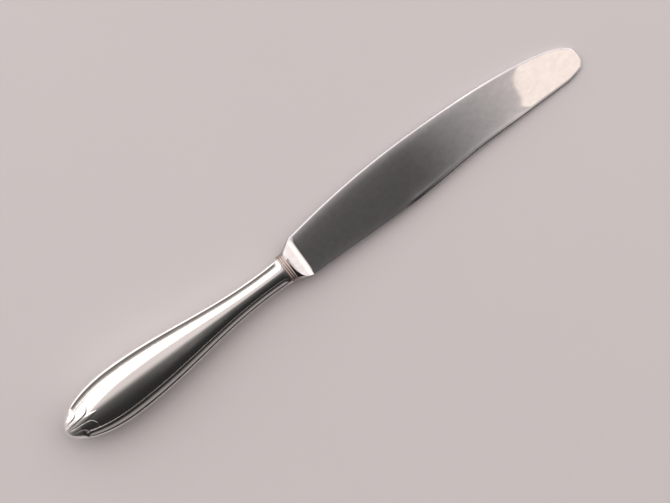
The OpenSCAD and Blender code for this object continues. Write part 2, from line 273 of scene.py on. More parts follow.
# %% Smudges
SMUDGE = {"Detail": 4.0, "Roughness": 0.6}
smudges = mask_group("smudges", {
    "Cloud": {"fineness": (90, 160, 160), "low": 0.34, "high": 0.68, **SMUDGE},
    "Mottle": {"fineness": (420, 520, 520), "low": 0.34, "high": 0.68, **SMUDGE},
    "Nick": {"fineness": (700, 900, 900), "low": 0.72, "high": 0.78, **SMUDGE}})
print("group", smudges.name)

# %% Tarnish and painted shade
# Specks break it up
SPECK = {"fineness": (900, 1400, 1400), "low": 0.05, "high": 0.5, "Detail": 5.0, "Roughness": 0.65}
tarnish_and_shade = bpy.data.node_groups.new("tarnish_and_shade", "ShaderNodeTree")
group_socket(tarnish_and_shade, "Amount", "INPUT")
group_socket(tarnish_and_shade, "Tarnish and shade", "OUTPUT")
out = add_node(tarnish_and_shade, "NodeGroupOutput")
inputs = add_node(tarnish_and_shade, "NodeGroupInput")
recess = add_node(tarnish_and_shade, "ShaderNodeAttribute", attribute_name="recess")
specks = noise_mask(tarnish_and_shade, **SPECK)
# The recess darkens the metal: tarnish and painted shade in the handle's grooves, painted shade beside the
# leaves' steps
darkening = arithmetic(tarnish_and_shade, "MULTIPLY", recess.outputs["Fac"], inputs.outputs["Amount"])
tarnish_and_shade.links.new(arithmetic(tarnish_and_shade, "MULTIPLY", darkening, specks), out.inputs["Tarnish and shade"])
print("group", tarnish_and_shade.name)


# %% [markdown]
# ## Finishes
# A finish is a material with one Principled shader. What is the same all over, such as being metal, is set
# on the shader's own sockets. What changes from place to place comes from the groups: a mask mixes two
# tones, adds to the roughness, or raises the surface a little. Several shaders could be mixed instead, but
# one shader keeps its meaning when the model is taken elsewhere.

# %% Finish helpers
def new_finish(name, **constants):
    """A material and its Principled shader, with constants set on its own sockets."""
    material = bpy.data.materials.new(name)
    material.use_nodes = True
    shader = material.node_tree.nodes["Principled BSDF"]
    for key, value in constants.items():
        shader.inputs[key].default_value = value
    return material, material.node_tree, shader


def effect(tree, group, **values):
    """Places a group in a finish, with its own values."""
    return add_node(tree, "ShaderNodeGroup", node_tree=group, **values)


def two_tone(tree, mask, clean, worn):
    """Mixes two colours by a mask; either may also be the outlet of another node."""
    node = add_node(tree, "ShaderNodeMix", data_type="RGBA")
    for socket, colour in zip((node.inputs["A"], node.inputs["B"]), (clean, worn)):
        if isinstance(colour, tuple):
            socket.default_value = (*colour, 1)
        else:
            tree.links.new(colour, socket)
    tree.links.new(mask, node.inputs["Factor"])
    return node.outputs["Result"]


def dress(tree, shader, colour, rough, height, depth):
    """Feeds the shader a colour, a roughness, and a height as a bump, depth metres high."""
    bump = add_node(tree, "ShaderNodeBump", Strength=1.0, Distance=depth)
    tree.links.new(height, bump.inputs["Height"])
    for outlet, name in ((colour, "Base Color"), (rough, "Roughness"), (bump.outputs["Normal"], "Normal")):
        tree.links.new(outlet, shader.inputs[name])


print("finishes are started by", new_finish.__name__)

# %% [markdown]
# ## Polished silver
# Silver is the whitest of the metals, and a polished handle is a curved mirror with a warm brown film in
# its grooves, which is tarnish made darker as painted shade; the same film beside the leaves' steps is only
# painted shade. Brown paint would only tint it. The film also takes the polish away, so the same mask makes
# the surface browner and rougher. The ferrule's silver is given a darker, browner tone and is duller all
# over.

# %% Silver of the handle and the ferrule
# Brown that the recesses are darkened towards: tarnish, and painted shade
BROWN_FILM_AND_SHADE = (0.10, 0.07, 0.05)
HANDLE_TONE, FERRULE_TONE = (0.93, 0.905, 0.88), (0.49, 0.41, 0.385)
CLOUD_ROUGH, FILM_ROUGH = 0.05, 0.3
WIPE_DEPTH = 1e-7


def polished_silver(name, amount, tone, polish):
    """Silver with tarnish and painted shade in its recesses; the lower polish is, the sharper it mirrors."""
    material, tree, shader = new_finish(name, Metallic=1.0)
    # Darkening in the recesses: partly tarnish, partly painted shade
    film_and_shade = effect(tree, tarnish_and_shade, Amount=amount).outputs["Tarnish and shade"]
    cloud = effect(tree, smudges).outputs["Cloud"]
    lines = effect(tree, hairlines).outputs["Along"]
    colour = two_tone(tree, film_and_shade, tone, BROWN_FILM_AND_SHADE)
    clouded = arithmetic(tree, "MULTIPLY_ADD", cloud, CLOUD_ROUGH, polish)
    rough = arithmetic(tree, "MULTIPLY_ADD", film_and_shade, FILM_ROUGH, clouded)
    dress(tree, shader, colour, rough, lines, WIPE_DEPTH)
    return material


silver = polished_silver("polished_silver", amount=1.0, tone=HANDLE_TONE, polish=0.11)
ferrule_silver = polished_silver("ferrule_silver", amount=0.9, tone=FERRULE_TONE, polish=0.26)
print("finishes", silver.name, ferrule_silver.name)

# %% [markdown]
# ## Blade steel
# Stainless steel is darker than silver, and the flat faces of a blade mirror sharply. Years of washing
# leave it mottled, use leaves small bright nicks, and polishing leaves fine lines across it. Beside the
# ferrule the bolster is made darker and browner. An anisotropic shader would look brushed, so the lines
# only stir the roughness and the height a little.

# %% Steel of the blade
STEEL_LIGHT, STEEL_DARK = (0.63, 0.615, 0.615), (0.57, 0.557, 0.56)
NICK_TONE, FERRULE_SIDE_TONE = (0.85, 0.84, 0.83), (0.24, 0.19, 0.15)
FERRULE_SIDE_AMOUNT = 0.5
STEEL_ROUGH, SCORE_ROUGH, SMEAR_ROUGH = 0.025, 0.01, 0.015
SCORE_DEPTH = 4e-8
steel, tree, shader = new_finish("blade_steel", Metallic=1.0)
# The bolster is darkened towards a brown tone beside the ferrule
ferrule_side = effect(tree, tarnish_and_shade, Amount=FERRULE_SIDE_AMOUNT).outputs["Tarnish and shade"]
smudge = effect(tree, smudges)
scores = effect(tree, hairlines).outputs["Across"]
mottled = two_tone(tree, smudge.outputs["Mottle"], STEEL_LIGHT, STEEL_DARK)
nicked = two_tone(tree, smudge.outputs["Nick"], mottled, NICK_TONE)
ferrule_side_darkened = two_tone(tree, ferrule_side, nicked, FERRULE_SIDE_TONE)
scored = arithmetic(tree, "MULTIPLY_ADD", scores, SCORE_ROUGH, STEEL_ROUGH)
smeared = arithmetic(tree, "MULTIPLY_ADD", smudge.outputs["Cloud"], SMEAR_ROUGH, scored)
dress(tree, shader, ferrule_side_darkened, smeared, scores, SCORE_DEPTH)
print("finish", steel.name)

# %% [markdown]
# ## Solder and cement
# Silver solder is a dull, yellowish metal. Cutler's cement is a brown filling of resin and mineral powder.
# Both are grainy, and one noise can tell the grain's colour, its roughness and its height, so one function
# makes both finishes.

# %% Fillings and films
GRAIN = {"fineness": (1800, 1800, 1800), "low": 0.3, "high": 0.7, "Detail": 6.0, "Roughness": 0.7}


def dull_filling(name, metal, tones, smoothest, spread, depth):
    """A grainy finish between two tones, with its least roughness and how far that spreads."""
    material, tree, shader = new_finish(name, Metallic=metal)
    grain = noise_mask(tree, **GRAIN)
    colour = two_tone(tree, grain, *tones)
    rough = arithmetic(tree, "MULTIPLY_ADD", grain, spread, smoothest)
    dress(tree, shader, colour, rough, grain, depth)
    return material


SOLDER_TONES = (0.62, 0.55, 0.42), (0.30, 0.23, 0.16)
CEMENT_TONES = (0.16, 0.10, 0.065), (0.30, 0.21, 0.15)
solder = dull_filling("solder", 1.0, SOLDER_TONES, smoothest=0.25, spread=0.25, depth=4e-6)
cement = dull_filling("cement", 0.0, CEMENT_TONES, smoothest=0.7, spread=0.25, depth=6e-5)
print("finishes", solder.name, cement.name)

# %% [markdown]
# ## The handle's outline
# Seen from above, the handle is an ellipse at the butt, a wave from the belly to the neck, and a short flare
# into the ferrule. Seen from the side it has the same outline with other sizes. A curve could trace it, but
# a formula gives both views at once. The driving sizes are those of the frame, in millimetres, so the finer
# skin lies on the same form as the plain solid that it replaces.

# %% Outline of the handle
HANDLE_L, HANDLE_W, HANDLE_T = 89.4, 18.0, 11.0
BELLY_X = 22.5
NECK_W, NECK_T, NECK_BACK = 8.4, 5.6, 9.9
MOUTH_W, MOUTH_T, FLARE_POWER = 9.2, 5.8, 3
FERRULE_L, PLATE_T = 2.2, 1.0
NECK_X = HANDLE_L - NECK_BACK
FERRULE_X = HANDLE_L - FERRULE_L
MOUTH_X = HANDLE_L - PLATE_T
THREAD_START, THREAD_FADE = 4.8, 1.8


def handle_half(x, belly, neck, mouth):
    """Half of an outline at x, from its halves at the belly, the neck and the mouth."""
    if x < BELLY_X:
        return belly * math.sqrt(max(0.0, 1 - (1 - x / BELLY_X) ** 2))
    if x < NECK_X:
        return mix(neck, belly, (1 + math.cos(math.pi * (x - BELLY_X) / (NECK_X - BELLY_X))) / 2)
    return mix(neck, mouth, clamp((x - NECK_X) / (FERRULE_X - NECK_X)) ** FLARE_POWER)


def half_w(x):
    """Half of the handle's width."""
    return handle_half(x, HANDLE_W / 2, NECK_W / 2, MOUTH_W / 2)


def half_t(x):
    """Height of one half of the handle, which leaves room for the film in the seam."""
    return handle_half(x, HANDLE_T / 2, NECK_T / 2, MOUTH_T / 2) - SEAM_FILM / 2 * clamp(x / THREAD_FADE)


print("handle", HANDLE_L, "mm long, half widths", [round(half_w(x), 2) for x in (BELLY_X, NECK_X, MOUTH_X)])

# %% [markdown]
# ## The thread
# Each half is struck from one sheet, and a border called a thread runs along its edge. From the seam inwards
# it is a wall, a rim that rounds over, an almost flat land, and a cove that climbs to the crown. A rib swept
# along the edge would look laid on. Working the border into the section keeps it one sheet, and the crown is
# an ellipse that starts with the slope at which the cove ends, so no kink shows in the polish.

# %% Scale of the thread and foot of the crown
THREAD_BELLY_R, THREAD_NECK_R, THREAD_SHARE = 0.82, 0.6, 0.15
COVE_END, FOOT_SLOPE = 3.4, 1.05


def thread_r(x):
    """Scale of the thread, which all its sizes are multiples of."""
    wide = mix(THREAD_NECK_R, THREAD_BELLY_R, (2 * half_w(x) - NECK_W) / (HANDLE_W - NECK_W))
    return min(THREAD_SHARE * half_w(x), wide)


def thread_on(x):
    """Share of the thread that shows: it fades in behind the leaves and out before the ferrule."""
    return ease((x - THREAD_START) / THREAD_FADE) * ease((FERRULE_X - x) / THREAD_FADE)


def crown_foot(x):
    """Half width of the crown's ellipse, and the place and height where the cove meets it."""
    y = half_w(x) - COVE_END * thread_r(x)
    reach = half_t(x) * y / FOOT_SLOPE
    crown_w = math.sqrt((y ** 2 + math.sqrt(y ** 4 + 4 * reach ** 2)) / 2)
    return crown_w, y, half_t(x) * math.sqrt(1 - (y / crown_w) ** 2)


print("foot of the crown at the belly", [round(v, 2) for v in crown_foot(BELLY_X)])

# %% Section of the thread
RIM_W, RIM_SLOPE, RIM_SOFT = 0.98, 1.12, 0.3
RIM_H = RIM_SLOPE * RIM_W * (math.hypot(1, RIM_SOFT) - RIM_SOFT)
LAND_END, LAND_FALL = 2.05, 0.03
# Shares of the section's points at which the wall, the rim and the land end
WALL_PART, RIM_PART, LAND_PART = 0.12, 0.5, 0.62


def thread_point(x, share):
    """Point of the border, from the seam, 0, to the foot of the crown, 1: wall, rim, land and cove."""
    r, wide = thread_r(x), half_w(x)
    rise = FOOT_SLOPE * (COVE_END - LAND_END) * r / 2
    land = crown_foot(x)[2] - rise
    top = land + LAND_FALL * r
    if share < WALL_PART:
        return wide, (top - RIM_H * r) * share / WALL_PART
    if share < RIM_PART:
        t = (share - WALL_PART) / (RIM_PART - WALL_PART)
        return wide - RIM_W * r * t, top - RIM_SLOPE * RIM_W * r * (math.hypot(1 - t, RIM_SOFT) - RIM_SOFT)
    if share < LAND_PART:
        t = (share - RIM_PART) / (LAND_PART - RIM_PART)
        return wide - mix(RIM_W, LAND_END, t) * r, mix(top, land, t)
    t = (share - LAND_PART) / (1 - LAND_PART)
    return wide - mix(LAND_END, COVE_END, t) * r, land + rise * t ** 2


print("top of the rim at the belly", [round(v, 2) for v in thread_point(BELLY_X, RIM_PART)])

# %% [markdown]
# ## The spray of leaves
# At the butt the threads end under a spray of five leaves: one in the middle, and a side leaf and an outer
# leaf on either hand, whose points hook outwards. Sculpting could shape them, but no two would match. A die
# is cut by rule: each leaf rises in a step along its inner border and falls away outwards, with ripples for
# veins, and a band of painted shade lies beside the step. So its height is a formula of the place on the
# handle.

# %% One leaf
LEAF_H, STEP_W, POINT_L = 0.16, 0.14, 0.4
# Width of the painted shade beside a leaf's step, and how far in from the step, at its foot, it is darkest
CREASE_SHADE_W, CREASE_SHADE_BACK = 0.24, 0.168
VEIN_H, VEIN_GAP = 0.2, 0.55
SIDE = {"length": 10.85, "butt_y": 0.32, "slope": 0.095, "hook": 2.5, "bend": 16, "reach": 2.4}
OUTER = {"length": 7.0, "butt_y": 1.5, "slope": 0.13, "hook": 2.1, "bend": 9, "reach": 2.4}


def leaf_border(leaf, x):
    """Inner border of a leaf: nearly straight, then hooked outwards to the leaf's point."""
    t = min(x / leaf["length"], 1.0)
    return leaf["butt_y"] + leaf["slope"] * x + leaf["hook"] * t ** leaf["bend"]


def leaf_form(leaf, x, y):
    """Height of a leaf at a place, and the painted shade that the place gets beside the leaf's step."""
    if x >= leaf["length"]:
        return 0.0, 0.0
    out = y - leaf_border(leaf, x)
    point = ease((leaf["length"] - x) / POINT_L)
    vein = VEIN_H * math.cos(2 * math.pi * out / VEIN_GAP) * ease(out / VEIN_GAP)
    height = ease(out / STEP_W + 0.5) * (1 - ease(out / leaf["reach"])) * (1 + vein)
    return height * point, math.exp(-((out + CREASE_SHADE_BACK) / CREASE_SHADE_W) ** 2) * point


print("leaves end", [round(leaf_border(leaf, leaf["length"]), 2) for leaf in (SIDE, OUTER)], "mm out")

# %% The whole spray
MIDDLE_L, MIDDLE_W, MIDDLE_H, MIDDLE_POWER = 12.8, 1.5, 0.5, 3
MIDDLE_START, MIDDLE_FADE = 6.0, 4.0


def spray_form(x, y):
    """Height of the spray at a place, as a share of a leaf's height, and the painted shade it gets beside a
    leaf's step.
    """
    side, outer = leaf_form(SIDE, x, abs(y)), leaf_form(OUTER, x, abs(y))
    middle = 0.0
    if x < MIDDLE_L:
        width = MIDDLE_W * (1 - (x / MIDDLE_L) ** MIDDLE_POWER)
        middle = MIDDLE_H * max(0.0, 1 - (y / width) ** 2) * ease((x - MIDDLE_START) / MIDDLE_FADE)
    return max(middle, side[0], outer[0]), max(side[1], outer[1])


print("middle leaf", round(LEAF_H * spray_form(MIDDLE_START + MIDDLE_FADE, 0.0)[0], 3), "mm high")

# %% [markdown]
# ## The outside of a half
# A section of the outside runs over the thread by the spine, the crown, and the thread by the edge. Where
# the thread fades, its points slide to a plain oval. The leaves then push the surface out, but not down by
# the seam. Sculpting could do the same, but here the recess of every point is known too: it is deep along
# the thread's groove, where its darkening stands for tarnish and painted shade, and in a band beside each
# leaf's step, where its darkening is painted shade.

# %% One section
# Share of the way over the half that the thread takes on each side
THREAD_PART = 0.2


def section_point(x, inward):
    """Points of the threaded and of the plain section; inward runs from the seam, 0, to the top, 0.5."""
    tall, wide = half_t(x), half_w(x)
    crown_w, foot_y, foot_z = crown_foot(x)
    if inward < THREAD_PART:
        share = inward / THREAD_PART
        angle = math.atan2(foot_z / tall, foot_y / wide) * share
        return thread_point(x, share), (wide * math.cos(angle), tall * math.sin(angle))
    start = math.acos(foot_y / crown_w)
    angle = mix(start, math.pi / 2, (inward - THREAD_PART) / (0.5 - THREAD_PART))
    y, z = crown_w * math.cos(angle), tall * math.sin(angle)
    scale = 1 / math.hypot(y / wide, z / tall)
    return (y, z), (y * scale, z * scale)


print("top of the belly, mm", round(section_point(BELLY_X, 0.5)[0][1], 3))

# %% One point of the outside
LEAF_RISE, LEAF_FOOT = 3.0, 0.2
# Place, spread and strength of the groove's darkening, which stands for tarnish and painted shade
GROOVE_PLACE, GROOVE_SPREAD, GROOVE_TARNISH_AND_SHADE = 0.74, 0.13, 0.78


def outside_point(x, across):
    """Place and recess of a point at x: across is 0 at the seam by the spine and 1 at that by the edge."""
    side = 1 if across < 0.5 else -1
    inward = min(across, 1 - across)
    tall = half_t(x)
    if tall <= 0:
        return 0.0, 0.0, 0.0
    threaded, plain = section_point(x, inward)
    y, z = (mix(a, b, thread_on(x)) for a, b in zip(plain, threaded))
    leaf, crease_shade = spray_form(x, y)
    struck = ease(x / THREAD_START) * ease(LEAF_RISE * (z / tall - LEAF_FOOT))
    grown = 1 + LEAF_H * leaf * struck / math.hypot(y, z)
    # Darkening in the groove is tarnish and painted shade; beside the leaves' steps it is painted shade
    from_groove = (inward / THREAD_PART - GROOVE_PLACE) / GROOVE_SPREAD
    groove = GROOVE_TARNISH_AND_SHADE * math.exp(-from_groove ** 2) * thread_on(x)
    return side * y * grown, z * grown, max(groove, crease_shade * struck)


print("a point of the belly", [round(v, 3) for v in outside_point(BELLY_X, 0.25)])

# %% Inside of the sheet
SHEET_T = 0.6
CAVITY_X, CAVITY_SHARE = 0.76, 0.3


def inside_size(x):
    """Half width and height of the hollow at x."""
    crown_w = crown_foot(x)[0]
    back = max(x - SHEET_T, 0)
    wide = max(mix(half_w(back), crown_w, thread_on(x)) - SHEET_T, CAVITY_SHARE * half_w(x))
    return wide, max(half_t(back) - SHEET_T, 0)


print("hollow at the belly, mm", [round(v, 2) for v in inside_size(BELLY_X)])

# %% [markdown]
# ## Striking the two halves
# Two grids make one half: the outside with its thread and leaves, and the plain hollow inside it. The loops
# at their edges are bridged, which makes the flat land of the seam and the rim of the mouth in one go. A
# Solidify modifier would carry the leaves through to the inside, where no one needs them. The leaves need
# close rows, so most of the rows lie in the first few millimetres.
#
# The back half is the same strike turned over, so it is a mirrored copy.

# %% Rows of the half
SPRAY_L = 13.0
SPRAY_ROWS, BODY_ROWS, ACROSS = 130, 100, 180
ROWS = SPRAY_ROWS + BODY_ROWS
SPRAY_CROWD, NECK_CROWD = 1.5, 1.35


def row_x(row, start=0.0):
    """Place of a row: close rows over the spray, then wider ones up to the mouth."""
    if row <= SPRAY_ROWS:
        return mix(start, SPRAY_L, (row / SPRAY_ROWS) ** SPRAY_CROWD)
    return mix(MOUTH_X, SPRAY_L, (1 - (row - SPRAY_ROWS) / BODY_ROWS) ** NECK_CROWD)


print(ROWS, "rows, from", row_x(0), "to", row_x(ROWS), "mm")


# %% Strike a half
def strike_half():
    """A half of the handle, closed, with its seam towards z = 0."""
    bm = bmesh.new()

    def outside(row, column):
        x = row_x(row)
        y, z, depth = outside_point(x, column / ACROSS)
        return (x, y, z + SEAM_FILM / 2), depth

    def inside(row, column):
        x = row_x(row, CAVITY_X)
        wide, tall = inside_size(x) if row else (0.0, 0.0)
        angle = math.pi * column / ACROSS
        return (x, wide * math.cos(angle), tall * math.sin(angle) + SEAM_FILM / 2), 0.0

    for place in (outside, inside):
        verts = worked_grid(bm, ROWS, ACROSS, place)
        bmesh.ops.remove_doubles(bm, verts=verts, dist=SAME_PLACE)
    edges = [edge for edge in bm.edges if edge.is_boundary]
    bmesh.ops.bridge_loops(bm, edges=edges)
    return bm


front_half = finish_piece(strike_half(), "handle_front", "handle_front_half", silver)

# %% Turn a second strike over
mirrored = strike_half()
bmesh.ops.scale(mirrored, vec=(1, 1, -1), verts=mirrored.verts)
back_half = finish_piece(mirrored, "handle_back", "handle_back_half", silver)

# %% [markdown]
# ## Solder in the seam
# The halves are run together with silver solder, which stands as a fine dull line all round the handle. A
# bevelled curve could draw that line, but it would not fill the seam. The strip here does: it goes from the
# mouth along the spine's side, round the butt and back, so the rows of the grid are counted both ways from
# the butt. Its outer side bulges slightly.

# %% Seam solder
SEAM_BULGE = 0.03
# Corners of the strip's section, round and back: share of the way out, and of the film's thickness upwards
SEAM_SECTION = ((0, 0.5), (1, 0.5), (1, 0.0), (1, -0.5), (0, -0.5), (0, 0.5))


def run_seam():
    """The strip of solder, with its two ends at the mouth."""
    bm = bmesh.new()

    def place(row, column):
        side = 1 if row < ROWS else -1
        step = abs(row - ROWS)
        outer_x, inner_x = row_x(step), row_x(step, CAVITY_X)
        outer_y = outside_point(outer_x, 0.0)[0]
        inner_y = inside_size(inner_x)[0] if step else 0.0
        out, up = SEAM_SECTION[column]
        bulge = SEAM_BULGE if up == 0 else 0.0
        y = side * (mix(inner_y, outer_y, out) + bulge)
        return (mix(inner_x, outer_x, out), y, up * SEAM_FILM), 0.0

    worked_grid(bm, 2 * ROWS, len(SEAM_SECTION) - 1, place)
    bmesh.ops.remove_doubles(bm, verts=bm.verts, dist=SAME_PLACE)
    bmesh.ops.holes_fill(bm, edges=[edge for edge in bm.edges if edge.is_boundary])
    return bm


seam_line = finish_piece(run_seam(), "seam_line", "seam_solder", solder)

# %% [markdown]
# ## The ferrule
# The ferrule is a turned cap: three reeds outside, a socket for the handle's mouth behind, and an opening
# for the tang in front. A turned form is a profile spun about the axis, so the spin operator makes it. The
# mouth is oval, so the turned ring is then pressed flat: each point keeps its distance from the mouth.

# %% Turn an oval ring
RING_STEPS = 120


def turned_oval(profile, depth):
    """Spins a profile of (x, distance out from the mouth) and presses it to the mouth's oval."""
    bm = bmesh.new()
    recess = bm.verts.layers.float.new("recess")
    verts = [bm.verts.new((x, MOUTH_W / 2 + out, 0)) for x, out in profile]
    for vert, (_, out) in zip(verts, profile):
        vert[recess] = depth(out)
    edges = [bm.edges.new(pair) for pair in zip(verts, verts[1:] + verts[:1])]
    bmesh.ops.spin(
        bm, geom=verts + edges, axis=(1, 0, 0), cent=(0, 0, 0), angle=2 * math.pi,
        steps=RING_STEPS, use_merge=True)
    for vert in bm.verts:
        radius = math.hypot(vert.co.y, vert.co.z)
        vert.co.z *= (MOUTH_T / 2 + radius - MOUTH_W / 2) / radius
    return bm


print("a ring has", RING_STEPS, "steps")

# %% Reeds and socket
FERRULE_WALL, FILM_ROOM, OPENING = 0.4, 0.2, -0.72
REED_H, REED_COUNT, REED_STEPS = 0.25, 3, 14
# How much faster than the reed rises the darkening between two reeds clears
REED_CLEARS = 1.6
reed_w = FERRULE_L / REED_COUNT


def ferrule_profile():
    """Half circles for the reeds, then the opening and the socket."""
    reeds = []
    for i in range(REED_COUNT * REED_STEPS + 1):
        turn = math.pi * i / REED_STEPS
        x = FERRULE_X + reed_w * (i // REED_STEPS + (1 - math.cos(turn % math.pi)) / 2)
        reeds.append((x, FERRULE_WALL + REED_H * abs(math.sin(turn))))
    socket = [(HANDLE_L, OPENING), (MOUTH_X, OPENING), (MOUTH_X, FILM_ROOM), (FERRULE_X, FILM_ROOM)]
    return reeds + socket


def between_reeds(out):
    """Recess of a point of the ferrule: deep between the reeds and gone on their tops."""
    return 1 - clamp((out - FERRULE_WALL) / REED_H * REED_CLEARS)


turned = turned_oval(ferrule_profile(), between_reeds)
ferrule = finish_piece(turned, "ferrule_cap", "ferrule", ferrule_silver)

# %% [markdown]
# ## The blade's outline
# Blade, bolster and tang are one piece of steel. The blade's spine bows out to a crest and runs round to the
# tip in one curve. Its edge swells a little, comes in again, and curls up to a small corner at the tip. The
# outline could be traced by hand, but two formulas, one for each side, keep it smooth under a polish.

# %% Outline of the blade
BOLSTER_L, BLADE_L = 4.85, 110.75
SHOULDER_X = HANDLE_L + BOLSTER_L
TIP_X = SHOULDER_X + BLADE_L
SPINE_ROOT, SPINE_CREST, CREST_X = 7.6, 11.5, 46.8
SPINE_POWER, TIP_POWER = 2.05, 2.6
EDGE_ROOT, EDGE_BELLY, EDGE_BELLY_X = 6.65, 7.4, 38.5
EDGE_FRONT, EDGE_FRONT_X, EDGE_CURL_L = 5.87, 70.6, 7.2
TIP_DROP, TIP_CORNER_BACK, CORNER_RISE = 0.5, 1.8, 1.37


def spine_y(x):
    """Outline of the spine's side."""
    d = x - SHOULDER_X
    if d < CREST_X:
        return SPINE_CREST - (SPINE_CREST - SPINE_ROOT) * (1 - d / CREST_X) ** 2
    front = (d - CREST_X) / (BLADE_L - CREST_X)
    return mix(-TIP_DROP, SPINE_CREST, max(0.0, 1 - front ** SPINE_POWER) ** (1 / TIP_POWER))


def edge_y(x):
    """Outline of the edge's side."""
    d = x - SHOULDER_X
    if d < EDGE_BELLY_X:
        return -mix(EDGE_ROOT, EDGE_BELLY, ease(d / EDGE_BELLY_X))
    along = -mix(EDGE_BELLY, EDGE_FRONT, ease((d - EDGE_BELLY_X) / (EDGE_FRONT_X - EDGE_BELLY_X)))
    corner = EDGE_FRONT - CORNER_RISE
    curl = max(0.0, x - TIP_X + TIP_CORNER_BACK + EDGE_CURL_L) / EDGE_CURL_L
    along += CORNER_RISE * curl ** 2
    front = -TIP_DROP - (corner - TIP_DROP) * math.sqrt(max(0.0, TIP_X - x) / TIP_CORNER_BACK)
    return max(along, front)


print("blade from", SHOULDER_X, "to", TIP_X, "mm")

# %% [markdown]
# ## Grinding the faces
# Each face is a flat that thins towards the edge and the tip. Grinding and polishing change it a little: it
# is eased towards the spine, with a narrow ground strip along the spine itself, and it rises slightly beside
# the edge. The edge is blunt near the handle and has a fine bevel further out, which narrows to the tip.
# Bevel modifiers cannot fade along an edge like that, so the height of the face is worked out at each place.

# %% Flat of the blade
SPINE_T, EDGE_T, TAPER_T = 2.3, 1.1, 0.75
FACE_SLOPE = (SPINE_T - EDGE_T) / 2 / (SPINE_ROOT + EDGE_ROOT)
FACE_TAPER = TAPER_T / 2 / BLADE_L
SLANT_STEP = 0.02


def face_z(x, y):
    """Height of the flat."""
    return SPINE_T / 2 + (y - SPINE_ROOT) * FACE_SLOPE - (x - SHOULDER_X) * FACE_TAPER


def slant(outline, x):
    """How much nearer than it looks across the blade a slanting outline is."""
    rise = (outline(x) - outline(x - SLANT_STEP)) / SLANT_STEP
    return 1 / math.hypot(1, rise)


print("half thickness at the root", [round(face_z(SHOULDER_X, y), 3) for y in (SPINE_ROOT, -EDGE_ROOT)])

# %% Spine side of the face
SPINE_ROUND, SPINE_DROP = 0.66, 0.32
SPINE_FALL, SPINE_FALL_W = 0.25, 1.6
# How far before the tip the easing has ended, and over what length it fades
SPINE_FALL_STOP, SPINE_FALL_FADE = 13.5, 45.0


def spine_ease(x, y):
    """How far the spine's easing and its ground strip lower the face."""
    from_spine = (spine_y(x) - y) * slant(spine_y, x)
    fall = SPINE_FALL * math.exp(-from_spine / SPINE_FALL_W) * ease((x - SHOULDER_X) / SPINE_FALL_W)
    fall *= ease((TIP_X - x - SPINE_FALL_STOP) / SPINE_FALL_FADE)
    return fall + SPINE_DROP * (1 - clamp(from_spine / SPINE_ROUND)) ** 2


print("spine eased by", round(spine_ease(SHOULDER_X + CREST_X, SPINE_CREST), 3), "mm at its crest")

# %% Edge side of the face
BEVEL_X, BEVEL_FADE = 37.0, 5.0
BEVEL_W, BEVEL_TIP_W, BEVEL_LEFT = 0.4, 0.2, 0.64
EDGE_ROUND = 0.06
EDGE_RISE, EDGE_RISE_W, EDGE_RISE_ROOT = 0.2, 1.5, 0.25
# How far before the tip the rise beside the edge has ended, and over what length it fades
EDGE_RISE_STOP, EDGE_RISE_FADE = 16.0, 16.0


def sharpened(x):
    """Share of the bevel: none near the handle, all of it further out."""
    return ease((x - SHOULDER_X - BEVEL_X) / BEVEL_FADE)


def bevel_w(x):
    """Width of the bevel."""
    return mix(BEVEL_W, BEVEL_TIP_W, (x - SHOULDER_X) / BLADE_L)


def edge_rise(x, from_edge):
    """How far the face rises over its flat beside the edge."""
    share = mix(EDGE_RISE_ROOT, 1, sharpened(x)) * ease((TIP_X - x - EDGE_RISE_STOP) / EDGE_RISE_FADE)
    return EDGE_RISE * share * math.exp(-from_edge / EDGE_RISE_W)


def blade_z(x, y):
    """Height of the finished face."""
    from_edge = (y - edge_y(x)) * slant(edge_y, x)
    bevel = mix(BEVEL_LEFT, 1, clamp(from_edge / bevel_w(x)))
    edge = mix(round_off(from_edge, EDGE_ROUND), bevel, sharpened(x))
    return (face_z(x, y) - spine_ease(x, y) + edge_rise(x, from_edge)) * edge


print("bevel", round(bevel_w(SHOULDER_X + BEVEL_X), 2), "mm wide at its start")

# %% [markdown]
# ## The bolster
# The bolster swells from the oval of the ferrule to the width of the blade and is cut down in front by a
# curved ramp, with a small chamfer down to the blade. The ramp meets the swelling oval in a slanting ridge.
# Two solids and a boolean would give the same ridge with ragged faces. Here the lower of the two heights is
# taken at each place.

# %% Heights of the bolster
BOLSTER_W = MOUTH_W / 2 + FERRULE_WALL + REED_H
BOLSTER_T = MOUTH_T / 2 + FERRULE_WALL
BOLSTER_FULL, SPREAD_BOW = 0.7, 0.4
RAMP_BACK, RAMP_FRONT, RAMP_BOW, CHAMFER_H = 0.13, 0.73, 0.65, 0.45


def bolster_spread(x):
    """Share of the way from the ferrule's width to the blade's."""
    d = (x - HANDLE_L) / BOLSTER_L
    return mix(d, math.sin(math.pi / 2 * d), SPREAD_BOW)


def bolster_sides(x):
    """Outlines of the edge's side and of the spine's side."""
    spread = bolster_spread(x)
    return -mix(BOLSTER_W, EDGE_ROOT, spread), mix(BOLSTER_W, SPINE_ROOT, spread)


def bolster_forms(x, y):
    """Heights of the oval that the bolster grows from, and of the ramp that cuts it down."""
    d = (x - HANDLE_L) / BOLSTER_L
    low, high = bolster_sides(x)
    left = 1 - clamp((d - RAMP_BACK) / (RAMP_FRONT - RAMP_BACK))
    chamfer = CHAMFER_H * min(1, (1 - d) / (1 - RAMP_FRONT))
    ramp_z = mix(face_z(SHOULDER_X, y) + chamfer, BOLSTER_T, left * mix(1, left, RAMP_BOW))
    turn = math.acos(min(max(2 * (y - low) / (high - low) - 1, -1), 1))
    oval_z = BOLSTER_T * abs(math.sin(turn)) ** mix(1, BOLSTER_FULL, bolster_spread(x))
    return oval_z, ramp_z


print("bolster", 2 * BOLSTER_W, "by", 2 * BOLSTER_T, "mm at the ferrule")

